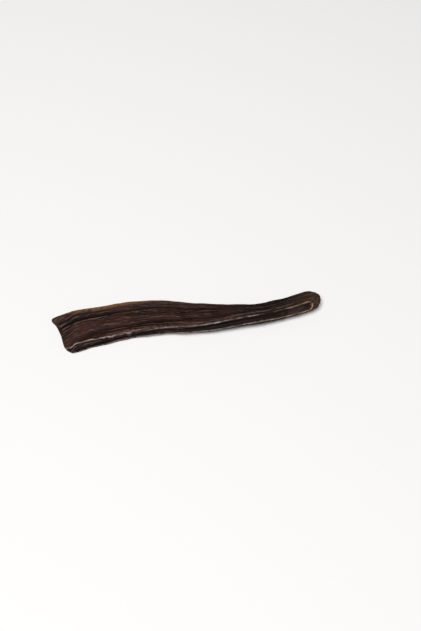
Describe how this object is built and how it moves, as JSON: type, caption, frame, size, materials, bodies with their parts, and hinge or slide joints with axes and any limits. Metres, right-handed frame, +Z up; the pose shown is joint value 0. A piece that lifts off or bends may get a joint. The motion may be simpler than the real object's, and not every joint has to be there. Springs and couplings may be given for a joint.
{
  "type": "carob pod",
  "caption": "Long flat dried carob pod with swollen grooved margins, a furrowed face, a blunt beaked tip and a narrow rounded stalk end, lying on its broad side with a gentle twist.",
  "frame": {"origin": "on the surface the pod lies on, under the middle of its bounding box", "axes": "+X along the pod from the beaked tip to the stalk end, +Y across it away from the raised edge, +Z up"},
  "size_m": [0.1814, 0.031, 0.017],
  "materials": {
    "pod_skin": "dry, leathery and faintly waxy"
  },
  "bodies": {
    "root": {"carob_pod": "pod_skin"}
  },
  "joints": []
}
